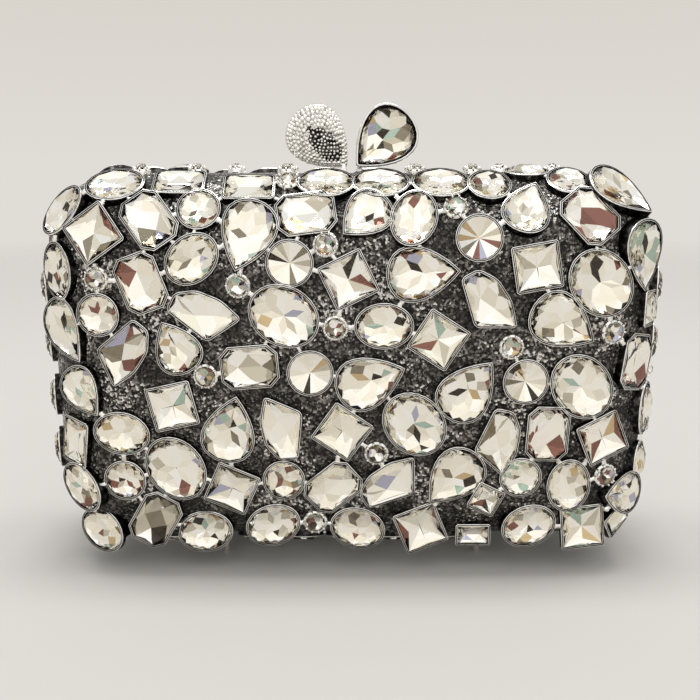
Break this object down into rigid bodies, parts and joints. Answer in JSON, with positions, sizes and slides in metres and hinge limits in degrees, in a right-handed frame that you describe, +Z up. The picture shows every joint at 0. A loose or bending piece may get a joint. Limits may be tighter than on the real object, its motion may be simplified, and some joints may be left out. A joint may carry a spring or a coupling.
{
  "type": "evening clutch",
  "caption": "Hard evening clutch: two hinged shells covered in cut stones, with a kiss lock of two petals, lined trays and small feet.",
  "frame": {"origin": "on the surface the clutch stands on, under the middle of its outline", "axes": "+X to the right along its length, +Y from the front face to the back, +Z up"},
  "size_m": [0.1996, 0.06, 0.1489],
  "materials": {
    "antique_silver": "cast, antiqued in the hollows",
    "polished_silver": "polished plate",
    "champagne_crystal": "faceted, foiled behind",
    "black_satin": "satin over card"
  },
  "bodies": {
    "rear_half": {"rear_shell": "antique_silver", "rear_lining": "black_satin", "rear_rim": "polished_silver", "clasp_petal_rear": "antique_silver", "clasp_stone_rear": "champagne_crystal", "hinge_pin_left": "polished_silver", "hinge_pin_right": "polished_silver", "hinge_leaf_rear_left": "antique_silver", "hinge_leaf_rear_right": "antique_silver", "foot_rear_left": "polished_silver", "foot_rear_right": "polished_silver", "strap_lug_left": "polished_silver", "strap_lug_right": "polished_silver", "rear_great_oval_1": "champagne_crystal", "rear_great_oval_2": "champagne_crystal", "rear_great_oval_3": "champagne_crystal", "rear_great_oval_4": "champagne_crystal", "rear_great_oval_5": "champagne_crystal", "rear_great_pear_1": "champagne_crystal", "rear_great_pear_2": "champagne_crystal", "rear_great_pear_3": "champagne_crystal", "rear_great_pear_4": "champagne_crystal", "rear_great_pear_5": "champagne_crystal", "rear_great_pear_6": "champagne_crystal", "rear_shield_1": "champagne_crystal", "rear_shield_2": "champagne_crystal", "rear_shield_3": "champagne_crystal", "rear_shield_4": "champagne_crystal", "rear_shield_5": "champagne_crystal", "rear_shield_6": "champagne_crystal"},
    "front_half": {"front_shell": "antique_silver", "front_lining": "black_satin", "front_rim": "polished_silver", "clasp_petal_front": "antique_silver", "clasp_stone_front": "champagne_crystal", "hinge_leaf_front_left": "antique_silver", "hinge_leaf_front_right": "antique_silver", "foot_front_left": "polished_silver", "foot_front_right": "polished_silver", "front_great_oval_1": "champagne_crystal", "front_great_oval_2": "champagne_crystal", "front_great_oval_3": "champagne_crystal", "front_great_oval_4": "champagne_crystal", "front_great_oval_5": "champagne_crystal", "front_great_pear_1": "champagne_crystal", "front_great_pear_2": "champagne_crystal", "front_great_pear_3": "champagne_crystal", "front_great_pear_4": "champagne_crystal", "front_great_pear_5": "champagne_crystal", "front_great_pear_6": "champagne_crystal", "front_shield_1": "champagne_crystal", "front_shield_2": "champagne_crystal", "front_shield_3": "champagne_crystal", "front_shield_4": "champagne_crystal", "front_shield_5": "champagne_crystal", "front_shield_6": "champagne_crystal"},
    "strap_ring_left": {"strap_ring_left": "polished_silver"},
    "strap_ring_right": {"strap_ring_right": "polished_silver"}
  },
  "joints": [
    {"name": "shell_hinge", "type": "hinge", "parent": "rear_half", "child": "front_half", "pos_m": [0, 0, 0.0042], "axis": [1, 0, 0], "range_deg": [0, 90]},
    {"name": "strap_ring_left_swing", "type": "hinge", "parent": "rear_half", "child": "strap_ring_left", "pos_m": [-0.0919, 0.00155, 0.09423], "axis": [0, -1, 0], "range_deg": [0, 100]},
    {"name": "strap_ring_right_swing", "type": "hinge", "parent": "rear_half", "child": "strap_ring_right", "pos_m": [0.0919, 0.00155, 0.09423], "axis": [0, 1, 0], "range_deg": [0, 100]}
  ]
}
